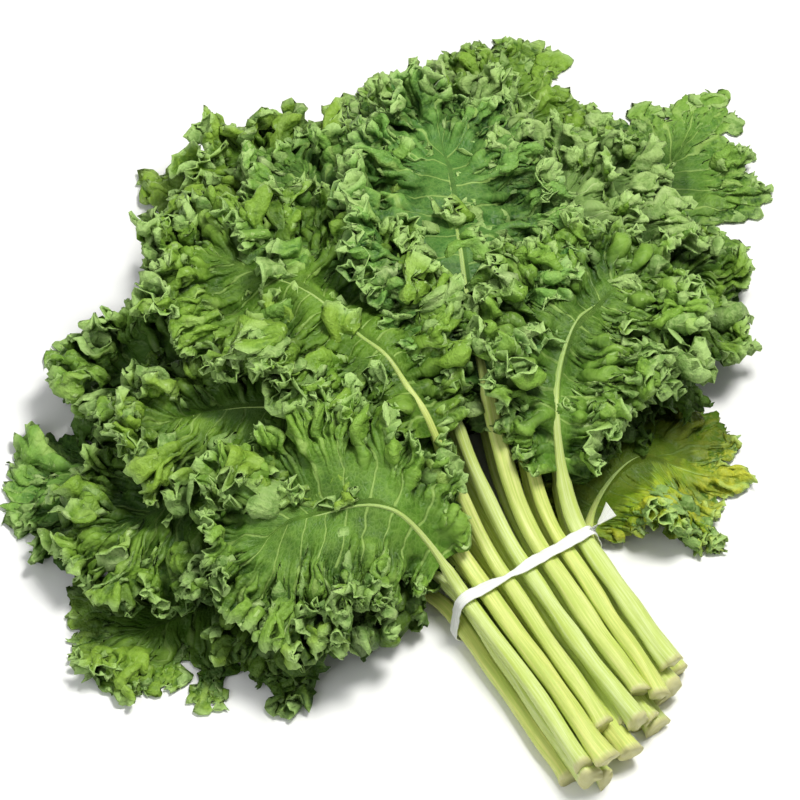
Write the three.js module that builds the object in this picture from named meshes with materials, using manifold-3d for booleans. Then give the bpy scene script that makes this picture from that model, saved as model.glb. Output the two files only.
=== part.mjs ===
// A bunch of curly kale lying on its side, its stalks gathered by one pale strip.
// Millimetres, +Z up. The stalks' cut ends point towards -Y, the leaves fan out towards +Y.
import * as THREE from "three";
import Module from "manifold-3d";
import { mergeVertices } from "three/addons/utils/BufferGeometryUtils.js";

// The tie: where it sits and which way the bundle of stalks runs through it.
const TIE_X = 63;
const TIE_Y = -122;
const BUNDLE_HEADING = 120.5;
const ROW_LIFT = 7.4;
const ROW_STEP = 9.4;
const STALK_PITCH = 10.8;
const STALK_RADIUS = 5.0;
const CUT_LENGTH = 93;
const CUT_SLANT = 4.1;
const CUT_SPREAD = 0.96;
const CUT_BOW = 2.6;

// The strip round the stalks.
const STRIP_WIDTH = 6;
const STRIP_THICKNESS = 0.9;
const STRIP_GAP = 0.8;

// The heap of leaves: a low dome, shared out between three tiers of leaves.
const HEAP_X = -18;
const HEAP_Y = 22;
const HEAP_RADIUS_X = 205;
const HEAP_RADIUS_Y = 205;
const HEAP_RIM = 27;
const HEAP_TOP = 112;
const TIERS = 3;
const TIER_SHARE = 0.86;

// The blade of a leaf: half its thickness at the midrib and at the margin, the waves it lies in,
// the depth and length of the lobes of its margin, how far its halves curl up (one number per
// tier), and how far its end sinks to the surface.
const BLADE_BODY = 2.0;
const BLADE_MARGIN = 1.3;
const WAVE_LENGTH = 62;
const WAVE_HEIGHT = 5;
const LOBE_DEPTH = 0.1;
const LOBE_LENGTH = 46;
const CUP = [0.4, 0.5, 0.6];
const END_DROOP = 17;
const MARGIN_STEPS = 20;
const ACROSS_STEPS = 3;

// The room kept between one leaf and the next.
const CLEARANCE = 0.35;

// One row per leaf: midrib's end x, y, heading there in degrees, blade length, blade half width,
// place across the bundle in stalk pitches, sideways tilt of the blade, cut end's extra length.
const LOW_LEAVES = [
  [-136, -148, 204, 155, 50, -3.5, 0.08, -6],
  [-168, -64, 188, 185, 58, -2.5, 0.07, 8],
  [-146, 14, 162, 190, 56, -1.5, 0.06, -3],
  [-96, 108, 134, 195, 60, -0.5, 0.06, 10],
  [2, 168, 100, 200, 60, 0.5, 0.05, 2],
  [52, 194, 92, 210, 58, 1.5, 0.04, 12],
  [148, 160, 62, 195, 58, 2.5, 0.05, 4],
  [134, -50, -46, 110, 52, 3.5, -0.06, -2],
];
const MIDDLE_LEAVES = [
  [-70, -144, 228, 120, 52, -3, 0.07, 6],
  [-138, -100, 204, 155, 58, -2, 0.07, -5],
  [-141, -6, 172, 180, 58, -1, 0.06, 12],
  [-78, 118, 126, 190, 60, 0, 0.06, 0],
  [24, 158, 98, 190, 60, 1, 0.05, 9],
  [104, 118, 64, 175, 60, 2, 0.05, -4],
  [146, 58, 36, 150, 53, 3, 0.04, 6],
];
const TOP_LEAVES = [
  [-66, -124, 212, 108, 56, -3.2, 0.05, 3],
  [-112, -56, 196, 145, 58, -2.2, 0.06, 11],
  [-100, 30, 158, 160, 58, -1.1, 0.05, -4],
  [-50, 90, 124, 165, 58, 0, 0.05, 7],
  [20, 110, 98, 155, 56, 1.1, 0.04, -2],
  [84, 84, 68, 150, 56, 2.1, 0.04, 8],
  [118, 28, 34, 120, 52, 3.1, 0.03, 0],
];

const wasm = await Module();
wasm.setup();

const group = new THREE.Group();
const radians = Math.PI / 180;
const along = [Math.cos(BUNDLE_HEADING * radians), Math.sin(BUNDLE_HEADING * radians)];
const across = [along[1], -along[0]];

// A leaf's green, a little different for each leaf.
function leafMaterial(order) {
  const colour = new THREE.Color().setHSL(0.27 + 0.012 * Math.sin(order * 2.4), 0.42, 0.3);
  return new THREE.MeshStandardMaterial({ color: colour, roughness: 0.6, metalness: 0 });
}

// Height of the heap of leaves above the surface at a point of the plan.
function heapHeight(x, y) {
  const far = ((x - HEAP_X) / HEAP_RADIUS_X) ** 2 + ((y - HEAP_Y) / HEAP_RADIUS_Y) ** 2;
  const dome = Math.max(0, 1 - far) ** 0.75;
  return HEAP_RIM + (HEAP_TOP - HEAP_RIM) * dome;
}

// Height of a leaf's level in the heap: its tier, a little lower or higher than its neighbours,
// in gentle waves that every leaf shares so that they nest.
function levelHeight(leaf, x, y) {
  const height = heapHeight(x, y);
  const step = leaf.order % 2 ? 0.3 : 0.72;
  const turns = (2 * Math.PI) / WAVE_LENGTH;
  const wave = Math.sin(x * turns + 1.2 * Math.sin(y * turns * 0.6)) * Math.cos(y * turns * 0.9);
  const level = (TIER_SHARE * height * (leaf.tier + step)) / TIERS;
  return level + (wave * WAVE_HEIGHT * height) / HEAP_TOP;
}

// The leaf's row of numbers given names, with the tier it lies in.
function leafFrom(row, tier, order) {
  const [tipX, tipY, heading, blade, halfWidth, slot, tilt, extra] = row;
  return { tipX, tipY, heading, blade, halfWidth, slot, tilt, extra, tier, order };
}

// Where a leaf's stalk passes through the tie.
function tiePoint(leaf) {
  const side = leaf.slot * STALK_PITCH;
  const x = TIE_X + across[0] * side;
  const y = TIE_Y + across[1] * side;
  return [x, y, ROW_LIFT + ROW_STEP * leaf.tier];
}

// The plan of the midrib from the tie (0) to its end (1): a cubic curve that leaves the tie
// along the bundle and ends in the leaf's own heading.
function planPoint(leaf, share) {
  const start = tiePoint(leaf);
  const turn = leaf.heading * radians;
  const span = Math.hypot(leaf.tipX - start[0], leaf.tipY - start[1]);
  const first = [start[0] + along[0] * span * 0.36, start[1] + along[1] * span * 0.36];
  const last = [leaf.tipX - Math.cos(turn) * span * 0.42, leaf.tipY - Math.sin(turn) * span * 0.42];
  const rest = 1 - share;
  const a = rest ** 3;
  const b = 3 * rest * rest * share;
  const c = 3 * rest * share * share;
  const d = share ** 3;
  const x = a * start[0] + b * first[0] + c * last[0] + d * leaf.tipX;
  const y = a * start[1] + b * first[1] + c * last[1] + d * leaf.tipY;
  return [x, y];
}

// Length of the midrib's plan, and the share of it at which the blade starts.
function bladeStart(leaf) {
  let length = 0;
  for (let i = 0; i < 24; i++) {
    const p = planPoint(leaf, i / 24);
    const q = planPoint(leaf, (i + 1) / 24);
    length += Math.hypot(q[0] - p[0], q[1] - p[1]);
  }
  return Math.max(0.16, 1 - leaf.blade / length);
}

// Height of the midrib: from its place in the tie up into its tier of the heap.
function ribHeight(leaf, share, x, y) {
  const start = tiePoint(leaf)[2];
  const end = Math.max(levelHeight(leaf, x, y), STALK_RADIUS * 0.8);
  const rise = Math.min(1, share / 0.45);
  const ease = rise * rise * (3 - 2 * rise);
  return start + (end - start) * ease;
}

// A closed solid skinned over a row of rings of points, with flat ends.
function skin(rings) {
  const sides = rings[0].length;
  const points = rings.flat(2);
  const faces = [];
  for (let i = 0; i + 1 < rings.length; i++) {
    for (let j = 0; j < sides; j++) {
      const a = i * sides + j;
      const b = i * sides + ((j + 1) % sides);
      faces.push(a, b, b + sides, a, b + sides, a + sides);
    }
  }
  const last = (rings.length - 1) * sides;
  for (let j = 1; j + 1 < sides; j++) {
    faces.push(0, j + 1, j, last, last + j, last + j + 1);
  }
  return solidFrom(points, faces);
}

// Six times the volume inside a list of triangles; below zero when they face inwards.
function signedVolume(points, faces) {
  const corners = [new THREE.Vector3(), new THREE.Vector3(), new THREE.Vector3()];
  let sum = 0;
  for (let i = 0; i < faces.length; i += 3) {
    corners.forEach((corner, k) => corner.fromArray(points, faces[i + k] * 3));
    sum += corners[0].dot(corners[1].clone().cross(corners[2]));
  }
  return sum;
}

// A manifold solid from flat lists of coordinates and corner numbers, turned to face outwards.
function solidFrom(points, faces) {
  if (signedVolume(points, faces) < 0) {
    faces.reverse();
  }
  let geometry = new THREE.BufferGeometry();
  geometry.setAttribute("position", new THREE.BufferAttribute(new Float32Array(points), 3));
  geometry.setIndex(faces);
  geometry = mergeVertices(geometry, 1e-3);
  const mesh = new wasm.Mesh({
    numProp: 3,
    vertProperties: geometry.attributes.position.array,
    triVerts: new Uint32Array(geometry.index.array),
  });
  return new wasm.Manifold(mesh);
}

// Some stalks are thicker than others.
function stalkRadius(leaf) {
  return STALK_RADIUS * (0.91 + 0.09 * Math.sin(leaf.order * 2.3));
}

// The stalk and midrib: round, thick at the cut end, thinning to a thread in the blade.
function stalkSolid(leaf, grow) {
  const rings = [];
  const sides = 6;
  const start = tiePoint(leaf);
  const begin = bladeStart(leaf);
  const cut = CUT_LENGTH - CUT_SLANT * leaf.slot + leaf.extra;
  const spread = leaf.slot * STALK_PITCH * (CUT_SPREAD - 1);
  const stations = [-1, -0.55, -0.06, 0.06, 0.17, 0.3, 0.45, 0.62, 0.8, 0.94];
  for (const share of stations) {
    const next = share + 0.01;
    const p = share < 0 ? cutPoint(leaf, cut, spread, share) : planPoint(leaf, share);
    const q = share < 0 ? cutPoint(leaf, cut, spread, next) : planPoint(leaf, next);
    const drop = ROW_LIFT - STALK_RADIUS + 0.3 + ROW_STEP * leaf.tier * 0.1;
    const height = share < 0 ? start[2] + drop * share : ribHeight(leaf, share, p[0], p[1]);
    const heading = Math.atan2(q[1] - p[1], q[0] - p[0]);
    const inBlade = Math.max(0, (share - begin) / (1 - begin));
    const swell = share < 0 ? 1 : 1 - 0.2 * Math.min(1, share / begin);
    const radius = stalkRadius(leaf) * swell * (1 - 0.75 * inBlade) + grow;
    const ring = [];
    for (let j = 0; j < sides; j++) {
      const angle = ((j + 0.5) / sides) * 2 * Math.PI;
      const side = Math.cos(angle) * radius;
      const up = Math.sin(angle) * radius;
      const x = p[0] + Math.sin(heading) * side;
      const y = p[1] - Math.cos(heading) * side;
      ring.push([x, y, height + up]);
    }
    rings.push(ring);
  }
  return skin(rings);
}

// A point of the stalk between the tie (0) and its cut end (-1); each stalk bows its own way.
function cutPoint(leaf, cut, spread, share) {
  const start = tiePoint(leaf);
  const aside = CUT_BOW * Math.sin(leaf.order * 4.1) * share * share - spread * share;
  const x = start[0] + along[0] * cut * share + across[0] * aside;
  const y = start[1] + along[1] * cut * share + across[1] * aside;
  return [x, y];
}

// How far the blade reaches from the midrib along a ray; 0 is the leaf's end, 1 its base.
function reach(leaf, fromEnd) {
  const swell = Math.max(0, Math.sin(Math.PI * Math.min(1, 0.28 + 0.7 * fromEnd))) ** 0.8;
  const shape = fromEnd < 0.32 ? 0.62 + 0.38 * Math.sin((fromEnd / 0.32) * Math.PI * 0.5) : 1;
  return leaf.halfWidth * (0.14 + 0.9 * swell) * shape;
}

// The ray's angle from the midrib's own heading.
function rayAngle(fromEnd) {
  return (78 * (1 - Math.exp(-fromEnd * 6)) + 18 * fromEnd) * radians;
}

// The blade: a waved, lobed pad that thins to its margin, standing in its own tier.
function bladeSolid(leaf, grow) {
  const begin = bladeStart(leaf);
  const top = [];
  const bottom = [];
  const columns = MARGIN_STEPS + 1;
  for (let i = 0; i < columns; i++) {
    const sweep = (i / MARGIN_STEPS) * 2 - 1;
    const fromEnd = Math.abs(sweep);
    const share = begin + (1 - begin) * (1 - 0.97 * fromEnd);
    const p = planPoint(leaf, share);
    const q = planPoint(leaf, share + 0.01);
    const heading = Math.atan2(q[1] - p[1], q[0] - p[0]);
    const ray = heading - Math.sign(sweep) * rayAngle(fromEnd);
    const phase = (sweep * leaf.blade * 1.25 * 2 * Math.PI) / LOBE_LENGTH + leaf.order * 1.7;
    const length = reach(leaf, fromEnd) * (1 + LOBE_DEPTH * Math.cos(phase)) + grow;
    for (let j = 0; j <= ACROSS_STEPS; j++) {
      const out = j / ACROSS_STEPS;
      const cup = CUP[leaf.tier];
      const flat = out - (cup ** 2 * out ** 4) / 8;
      const x = p[0] + Math.cos(ray) * length * flat;
      const y = p[1] + Math.sin(ray) * length * flat;
      const rib = ribHeight(leaf, share, p[0], p[1]);
      const slope = levelHeight(leaf, x, y) - levelHeight(leaf, p[0], p[1]);
      const tilt = -Math.sign(sweep) * leaf.tilt * length * out;
      const droop = leaf.tier === 0 ? END_DROOP * (1 - fromEnd) ** 2 * out : 0;
      const curl = (length * cup * out ** 2.5) / 2.5;
      const middle = rib + slope + tilt - droop + curl;
      const half = BLADE_BODY + (BLADE_MARGIN - BLADE_BODY) * out * out + grow;
      const low = Math.max(-grow, middle - half);
      const high = Math.max(low + 2 * BLADE_MARGIN + 2 * grow, middle + half);
      top.push([x, y, high]);
      bottom.push([x, y, low]);
    }
  }
  const rows = ACROSS_STEPS + 1;
  const offset = columns * rows;
  const faces = [];
  for (let i = 0; i + 1 < columns; i++) {
    for (let j = 0; j + 1 < rows; j++) {
      const a = i * rows + j;
      const b = a + rows;
      faces.push(a, a + 1, b + 1, a, b + 1, b);
      faces.push(offset + a, offset + b + 1, offset + a + 1, offset + a, offset + b, offset + b + 1);
    }
    const m = i * rows + rows - 1;
    faces.push(m, offset + m, offset + m + rows, m, offset + m + rows, m + rows);
  }
  const end = (columns - 1) * rows;
  for (let j = 0; j + 1 < rows; j++) {
    faces.push(j, offset + j, offset + j + 1, j, offset + j + 1, j + 1);
    faces.push(end + j, end + j + 1, offset + end + j + 1, end + j, offset + end + j + 1, offset + end + j);
  }
  return solidFrom([...top, ...bottom].flat(), faces);
}

// The largest body of a solid, so that no loose crumbs are left.
function largest(solid) {
  const bodies = solid.decompose();
  bodies.sort((a, b) => b.volume() - a.volume());
  return bodies[0];
}

// A mesh of the given name and material from a manifold solid.
function meshFrom(solid, name, material) {
  const data = solid.getMesh();
  const geometry = new THREE.BufferGeometry();
  const points = new Float32Array(data.numVert * 3);
  for (let i = 0; i < data.numVert; i++) {
    for (let k = 0; k < 3; k++) {
      points[i * 3 + k] = data.vertProperties[i * data.numProp + k];
    }
  }
  geometry.setAttribute("position", new THREE.BufferAttribute(points, 3));
  geometry.setIndex(new THREE.BufferAttribute(new Uint32Array(data.triVerts), 1));
  const mesh = new THREE.Mesh(geometry, material);
  mesh.name = name;
  return mesh;
}

// The strip's outline round the stalks: the tight loop round all their circles, let out by a gap.
function loopPoint(leaves, angle, out) {
  let best = null;
  let most = -Infinity;
  for (const leaf of leaves) {
    const side = leaf.slot * STALK_PITCH;
    const up = ROW_LIFT + ROW_STEP * leaf.tier;
    const support = side * Math.cos(angle) + up * Math.sin(angle);
    if (support > most) {
      most = support;
      best = [side, up];
    }
  }
  const reachOut = STALK_RADIUS + out;
  return [best[0] + Math.cos(angle) * reachOut, best[1] + Math.sin(angle) * reachOut];
}

// A point beside the bundle (side, up) and along it (forward) put into the shared frame.
function inBundle(side, up, forward) {
  const x = TIE_X + across[0] * side + along[0] * forward;
  const y = TIE_Y + across[1] * side + along[1] * forward;
  return [x, y, up];
}

// The strip: a flat band pulled round the stalks.
function stripSolid(leaves, grow) {
  const rings = [];
  const steps = 40;
  for (let i = 0; i <= steps; i++) {
    const angle = (i / steps) * 2 * Math.PI + 0.05;
    const inner = loopPoint(leaves, angle, STRIP_GAP - grow);
    const outer = loopPoint(leaves, angle, STRIP_GAP + STRIP_THICKNESS + grow);
    const slant = 0.05 * inner[0];
    const back = slant - STRIP_WIDTH / 2 - grow;
    const front = slant + STRIP_WIDTH / 2 + grow;
    rings.push([
      inBundle(inner[0], inner[1], back),
      inBundle(inner[0], inner[1], front),
      inBundle(outer[0], outer[1], front),
      inBundle(outer[0], outer[1], back),
    ]);
  }
  const points = rings.slice(0, steps).flat(2);
  const faces = [];
  for (let i = 0; i < steps; i++) {
    for (let j = 0; j < 4; j++) {
      const a = i * 4 + j;
      const b = i * 4 + ((j + 1) % 4);
      const c = ((i + 1) % steps) * 4 + ((j + 1) % 4);
      const d = ((i + 1) % steps) * 4 + j;
      faces.push(a, b, c, a, c, d);
    }
  }
  return solidFrom(points, faces);
}

// The strip's twisted ends, standing off the bundle's right-hand shoulder.
function twistSolid(leaves) {
  const rings = [];
  const steps = 8;
  const foot = loopPoint(leaves, 0.95, STRIP_GAP + 0.2);
  for (let i = 0; i <= steps; i++) {
    const share = i / steps;
    const turn = share * 2.6;
    const side = foot[0] + 14 * share;
    const up = foot[1] + 9 * share + 2 * share * share;
    const half = STRIP_WIDTH * (0.34 + 0.3 * Math.abs(share - 0.35));
    const ring = [];
    for (const [w, t] of [[-1, -1], [1, -1], [1, 1], [-1, 1]]) {
      const flat = w * half;
      const thick = t * STRIP_THICKNESS * 0.7;
      const forward = 0.05 * foot[0] + flat * Math.cos(turn) - thick * Math.sin(turn);
      const lift = flat * Math.sin(turn) + thick * Math.cos(turn);
      ring.push(inBundle(side - lift * 0.55, up + lift * 0.83, forward));
    }
    rings.push(ring);
  }
  return skin(rings);
}

const leaves = [];
for (const row of LOW_LEAVES) {
  leaves.push(leafFrom(row, 0, leaves.length + 1));
}
for (const row of MIDDLE_LEAVES) {
  leaves.push(leafFrom(row, 1, leaves.length + 1));
}
for (const row of TOP_LEAVES) {
  leaves.push(leafFrom(row, 2, leaves.length + 1));
}

// Every stalk keeps clear of the stalks before it; every blade keeps clear of all the other
// stalks and of the blades already laid.
const stalkRoom = leaves.map((leaf) => stalkSolid(leaf, CLEARANCE));
const bladeRoom = leaves.map((leaf) => bladeSolid(leaf, CLEARANCE));
const stripRoom = stripSolid(leaves, CLEARANCE).add(twistSolid(leaves));
leaves.forEach((leaf, i) => {
  let stalk = stalkSolid(leaf, 0);
  let blade = bladeSolid(leaf, 0);
  for (let j = 0; j < leaves.length; j++) {
    if (j < i) {
      stalk = stalk.subtract(stalkRoom[j]);
      blade = blade.subtract(bladeRoom[j]);
    }
    if (j !== i) {
      blade = blade.subtract(stalkRoom[j]);
    }
  }
  const body = stalk.add(blade).subtract(stripRoom).trimByPlane([0, 0, 1], 0).simplify(0.12);
  const name = `leaf_${String(i + 1).padStart(2, "0")}`;
  group.add(meshFrom(largest(body), name, leafMaterial(i + 1)));
});

const strip = stripSolid(leaves, 0).add(twistSolid(leaves));
const paper = new THREE.MeshStandardMaterial({ color: 0xe9eadf, roughness: 0.7, metalness: 0 });
group.add(meshFrom(largest(strip), "tie", paper));

// The frame's origin lies on the surface, under the middle of the whole bunch.
const box = new THREE.Box3().setFromObject(group);
const middle = box.getCenter(new THREE.Vector3());
for (const mesh of group.children) {
  mesh.geometry.translate(-middle.x, -middle.y, 0);
}

export default group;
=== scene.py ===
import math

import bpy
import numpy as np
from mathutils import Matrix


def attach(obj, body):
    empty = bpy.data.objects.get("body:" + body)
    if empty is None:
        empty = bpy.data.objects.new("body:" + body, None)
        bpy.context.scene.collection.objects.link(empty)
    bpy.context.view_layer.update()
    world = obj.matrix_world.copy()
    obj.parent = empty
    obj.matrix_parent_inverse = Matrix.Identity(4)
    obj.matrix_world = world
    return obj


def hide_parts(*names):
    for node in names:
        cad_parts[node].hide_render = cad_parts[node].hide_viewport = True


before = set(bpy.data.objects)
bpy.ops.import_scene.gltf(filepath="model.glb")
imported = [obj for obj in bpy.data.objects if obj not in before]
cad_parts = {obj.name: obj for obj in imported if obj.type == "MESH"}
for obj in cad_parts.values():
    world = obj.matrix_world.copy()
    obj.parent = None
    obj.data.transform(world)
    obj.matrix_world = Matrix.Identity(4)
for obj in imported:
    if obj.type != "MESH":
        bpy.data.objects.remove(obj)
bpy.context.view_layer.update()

# ---- Camera -------------------------------------------------------------------------------------
# A long lens looking down on the bunch from the side where its cut stalks point. It stands far
# away, so that near and far leaves come out at almost the same scale.

CAMERA_HEIGHT = math.radians(55)
CAMERA_AWAY = 4.0
CAMERA_AIM = (0.0047, 0.0060, 0.0)
CAMERA_LENS = 358

camera = bpy.data.objects.new("camera", bpy.data.cameras.new("camera"))
bpy.context.collection.objects.link(camera)
camera.location = (
    CAMERA_AIM[0],
    CAMERA_AIM[1] - CAMERA_AWAY * math.cos(CAMERA_HEIGHT),
    CAMERA_AIM[2] + CAMERA_AWAY * math.sin(CAMERA_HEIGHT),
)
camera.rotation_euler = (math.pi / 2 - CAMERA_HEIGHT, 0, 0)
camera.data.lens = CAMERA_LENS
camera.data.sensor_width = 36
camera.data.clip_start = 0.05
camera.data.clip_end = 20
bpy.context.scene.camera = camera

# ---- Floor and studio light ---------------------------------------------------------------------
# A plain white table in metres, with a soft key light high on the right, a broad ceiling light,
# a weak fill from the front left, and a pale room all round.

TABLE_HALF = 6.0

table_mesh = bpy.data.meshes.new("table_top")
table_corners = [(-TABLE_HALF, -TABLE_HALF, 0), (TABLE_HALF, -TABLE_HALF, 0)]
table_corners += [(TABLE_HALF, TABLE_HALF, 0), (-TABLE_HALF, TABLE_HALF, 0)]
table_mesh.from_pydata(table_corners, [], [(0, 1, 2, 3)])
table_top = bpy.data.objects.new("table_top", table_mesh)
bpy.context.collection.objects.link(table_top)
white = bpy.data.materials.new("white_table")
white.use_nodes = True
white_skin = white.node_tree.nodes["Principled BSDF"]
white_skin.inputs["Base Color"].default_value = (0.9, 0.9, 0.9, 1)
white_skin.inputs["Roughness"].default_value = 0.6
table_mesh.materials.append(white)


def soft_light(name, place, aim, size, power, colour):
    """A square area light at place, turned so that its face looks at aim."""
    data = bpy.data.lights.new(name, "AREA")
    data.size = size
    data.energy = power
    data.color = colour
    lamp = bpy.data.objects.new(name, data)
    bpy.context.collection.objects.link(lamp)
    there = np.array(place, float)
    look = np.array(aim, float) - there
    look /= np.linalg.norm(look)
    lamp.location = place
    lamp.rotation_euler = (math.acos(-look[2]), 0, math.atan2(look[0], -look[1]) + math.pi)


soft_light("key", (0.55, 0.2, 1.9), (0, 0, 0), 0.55, 36.5, (1, 0.99, 0.95))
soft_light("ceiling", (0, 0, 5), (0, 0.001, 0), 9.0, 90, (1, 1, 1))
soft_light("fill", (-1.3, -1.3, 1.3), (0, 0, 0), 1.4, 13, (0.97, 0.99, 1))

room = bpy.data.worlds.new("pale_room")
room.use_nodes = True
room.node_tree.nodes["Background"].inputs["Color"].default_value = (1, 1, 1, 1)
room.node_tree.nodes["Background"].inputs["Strength"].default_value = 0.17
bpy.context.scene.world = room
bpy.context.scene.view_settings.view_transform = "Standard"

# ---- Where each leaf lies -----------------------------------------------------------------------
# Twenty-two curly kale leaves, each cut with its stalk on. The stalks are laid side by side in
# three rows and tied; beyond the tie they fan out and the blades lie on each other in a low heap.
# Millimetres here, as on the drawing; metres when a mesh is made.

TO_CENTRE = np.array([4.701, 7.136])
TIE = np.array([63.0, -122.0])
BUNDLE_HEADING = math.radians(120.5)
ROW_LIFT, ROW_STEP, STALK_PITCH, STALK_RADIUS = 7.4, 9.4, 10.8, 5.0
CUT_LENGTH, CUT_SLANT, CUT_SPREAD = 93, 4.1, 0.96
HEAP_X, HEAP_Y, HEAP_REACH = -18, 22, 205
HEAP_RIM, HEAP_DOME = 27, 85
TIER_SHARE = 0.86
WAVE_PITCH, WAVE_HEIGHT = 62, 5
ALONG = np.array([math.cos(BUNDLE_HEADING), math.sin(BUNDLE_HEADING)])
ACROSS = np.array([ALONG[1], -ALONG[0]])

# End of the rib x, y, its heading there, blade length, half width, place across the bundle,
# sideways tilt, cut end's extra length; then how far in the curls start (0 rib, 1 margin),
# how strong they are, which face lies up, and how blue or yellow the green is. A yellow hue
# (below nought) also brightens the upper face with painted light, as if light shone through the
# leaf; leaf 8 has the most of it.
LOW_LEAVES = [
    (-136, -148, 204, 155, 50, -3.5, 0.08, -6, 0.03, 1.00, 1, -0.1),
    (-168, -64, 188, 185, 58, -2.5, 0.07, 8, 0.03, 1.00, 1, 0.3),
    (-146, 14, 162, 190, 56, -1.5, 0.06, -3, 0.03, 1.00, 1, 0.2),
    (-96, 108, 134, 195, 60, -0.5, 0.06, 10, 0.03, 1.00, 1, -0.1),
    (2, 168, 100, 200, 60, 0.5, 0.05, 2, 0.03, 1.00, 1, 0.1),
    (52, 194, 92, 210, 58, 1.5, 0.04, 12, 0.03, 1.00, 1, 0.0),
    (148, 160, 62, 195, 58, 2.5, 0.05, 4, 0.22, 0.90, 1, 0.2),
    (134, -50, -46, 110, 52, 3.5, -0.06, -2, 0.30, 0.75, 1, -1.4),
]
MIDDLE_LEAVES = [
    (-70, -144, 228, 120, 52, -3, 0.07, 6, 0.03, 1.00, 1, -0.1),
    (-138, -100, 204, 155, 58, -2, 0.07, -5, 0.03, 1.00, 1, 0.0),
    (-141, -6, 172, 180, 58, -1, 0.06, 12, 0.03, 1.00, 1, 0.1),
    (-78, 118, 126, 190, 60, 0, 0.06, 0, 0.03, 1.00, 1, -0.1),
    (24, 158, 98, 190, 60, 1, 0.05, 9, 0.15, 1.00, -1, 0.0),
    (104, 118, 64, 175, 60, 2, 0.05, -4, 0.20, 0.90, -1, 0.2),
    (146, 58, 36, 150, 53, 3, 0.04, 6, 0.03, 1.00, 1, 0.0),
]
TOP_LEAVES = [
    (-66, -124, 212, 108, 56, -3.2, 0.05, 3, 0.28, 0.90, 1, 0.1),
    (-112, -56, 196, 145, 58, -2.2, 0.06, 11, 0.03, 1.00, 1, -0.1),
    (-100, 30, 158, 160, 58, -1.1, 0.05, -4, 0.03, 1.00, 1, 0.0),
    (-50, 90, 124, 165, 58, 0, 0.05, 7, 0.10, 1.00, 1, 0.3),
    (20, 110, 98, 155, 56, 1.1, 0.04, -2, 0.20, 0.95, 1, 0.45),
    (84, 84, 68, 150, 56, 2.1, 0.04, 8, 0.30, 0.90, -1, 0.0),
    (118, 28, 34, 120, 52, 3.1, 0.03, 0, 0.03, 1.10, 1, 0.1),
]
WORDS = (
    "end_x end_y heading blade half_width slot tilt extra smooth curl face hue tier order".split()
)
leaves = []
for tier, rows in enumerate((LOW_LEAVES, MIDDLE_LEAVES, TOP_LEAVES)):
    for row in rows:
        leaves.append(dict(zip(WORDS, (*row, tier, len(leaves) + 1))))


def heap_height(x, y):
    """Height of the heap: HEAP_RIM outside a circle, and inside it a dome that rises with the
    0.75th power of one less the squared distance from the middle, over the reach."""
    far = ((x - HEAP_X) / HEAP_REACH) ** 2 + ((y - HEAP_Y) / HEAP_REACH) ** 2
    return HEAP_RIM + HEAP_DOME * np.clip(1 - far, 0, None) ** 0.75


def level_height(leaf, x, y):
    """A leaf's level: its tier's share of the heap's height, in waves shared by all leaves."""
    height = heap_height(x, y)
    step = 0.3 if leaf["order"] % 2 else 0.72
    turn = 2 * math.pi / WAVE_PITCH
    wave = np.sin(x * turn + 1.2 * np.sin(y * turn * 0.6)) * np.cos(y * turn * 0.9)
    level = TIER_SHARE * height * (leaf["tier"] + step) / 3
    return level + wave * WAVE_HEIGHT * height / (HEAP_RIM + HEAP_DOME)


def tie_point(leaf):
    """Where the stalk passes through the tie: its place across the bundle and its row's height."""
    flat = TIE + ACROSS * leaf["slot"] * STALK_PITCH
    return flat, ROW_LIFT + ROW_STEP * leaf["tier"]


def rib_plan(leaf, share):
    """Plan of the rib from the tie (0) to the leaf's end (1): a cubic curve with four posts."""
    start, _ = tie_point(leaf)
    end = np.array([leaf["end_x"], leaf["end_y"]], float)
    turn = math.radians(leaf["heading"])
    span = np.linalg.norm(end - start)
    first = start + ALONG * span * 0.36
    last = end - np.array([math.cos(turn), math.sin(turn)]) * span * 0.42
    s = np.asarray(share, float)[..., None]
    r = 1 - s
    return r**3 * start + 3 * r * r * s * first + 3 * r * s * s * last + s**3 * end


def blade_start(leaf):
    """The share of the rib's plan length at which the blade begins."""
    plan = rib_plan(leaf, np.linspace(0, 1, 25))
    length = np.linalg.norm(np.diff(plan, axis=0), axis=1).sum()
    return max(0.16, 1 - leaf["blade"] / length)


def rib_height(leaf, share, x, y):
    """Height of the rib: eased from the tie's row up to the leaf's level over the first 45%."""
    _, start = tie_point(leaf)
    end = np.maximum(level_height(leaf, x, y), STALK_RADIUS * 0.8)
    rise = np.clip(share / 0.45, 0, 1)
    return start + (end - start) * rise * rise * (3 - 2 * rise)


# ---- The frilled blades -------------------------------------------------------------------------
# A kale blade is one thin sheet whose margin has grown several times longer than its rib, so it
# buckles into big folds, smaller curls on the folds, and a tight curly hem on the curls.

COLUMNS = 1620
INNER_ROWS = 12
OUTER_ROWS = 8
HEM_START = 0.66
SHEET_HALF = 0.28
CUP = (0.2, 0.25, 0.3)
END_DROOP = 17
MARGIN_PER_BLADE = 2.5
LOBE_PITCH, NOTCH_PITCH, TOOTH_PITCH = 46, 27, 9.0

# Pitch and height of each kind of blister and fold, in the order in which they are put on.
KNOB_PITCH, KNOB_HEIGHT = 32, 7.0
FOLD_PITCH, FOLD_HEIGHT = 34, 6.5
BLISTER_PITCH, BLISTER_HEIGHT = 12, 4.4
CURL_PITCH, CURL_HEIGHT = 10, 3.7
GRAIN_PITCH, GRAIN_HEIGHT = 7.5, 1.9
HEM_PITCH, HEM_HEIGHT = 7.2, 2.1
SCALLOP_PITCH, SCALLOP_DEPTH = 4.6, 2.2

# The soft limits above and below the heap.
CROWN_HEIGHT, CROWN_GIVE = 100, 16
FLOOR_GAP = 1.2


def unit(vectors):
    """Each vector divided by its own length."""
    return vectors / np.maximum(np.linalg.norm(vectors, axis=-1, keepdims=True), 1e-9)


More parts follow.
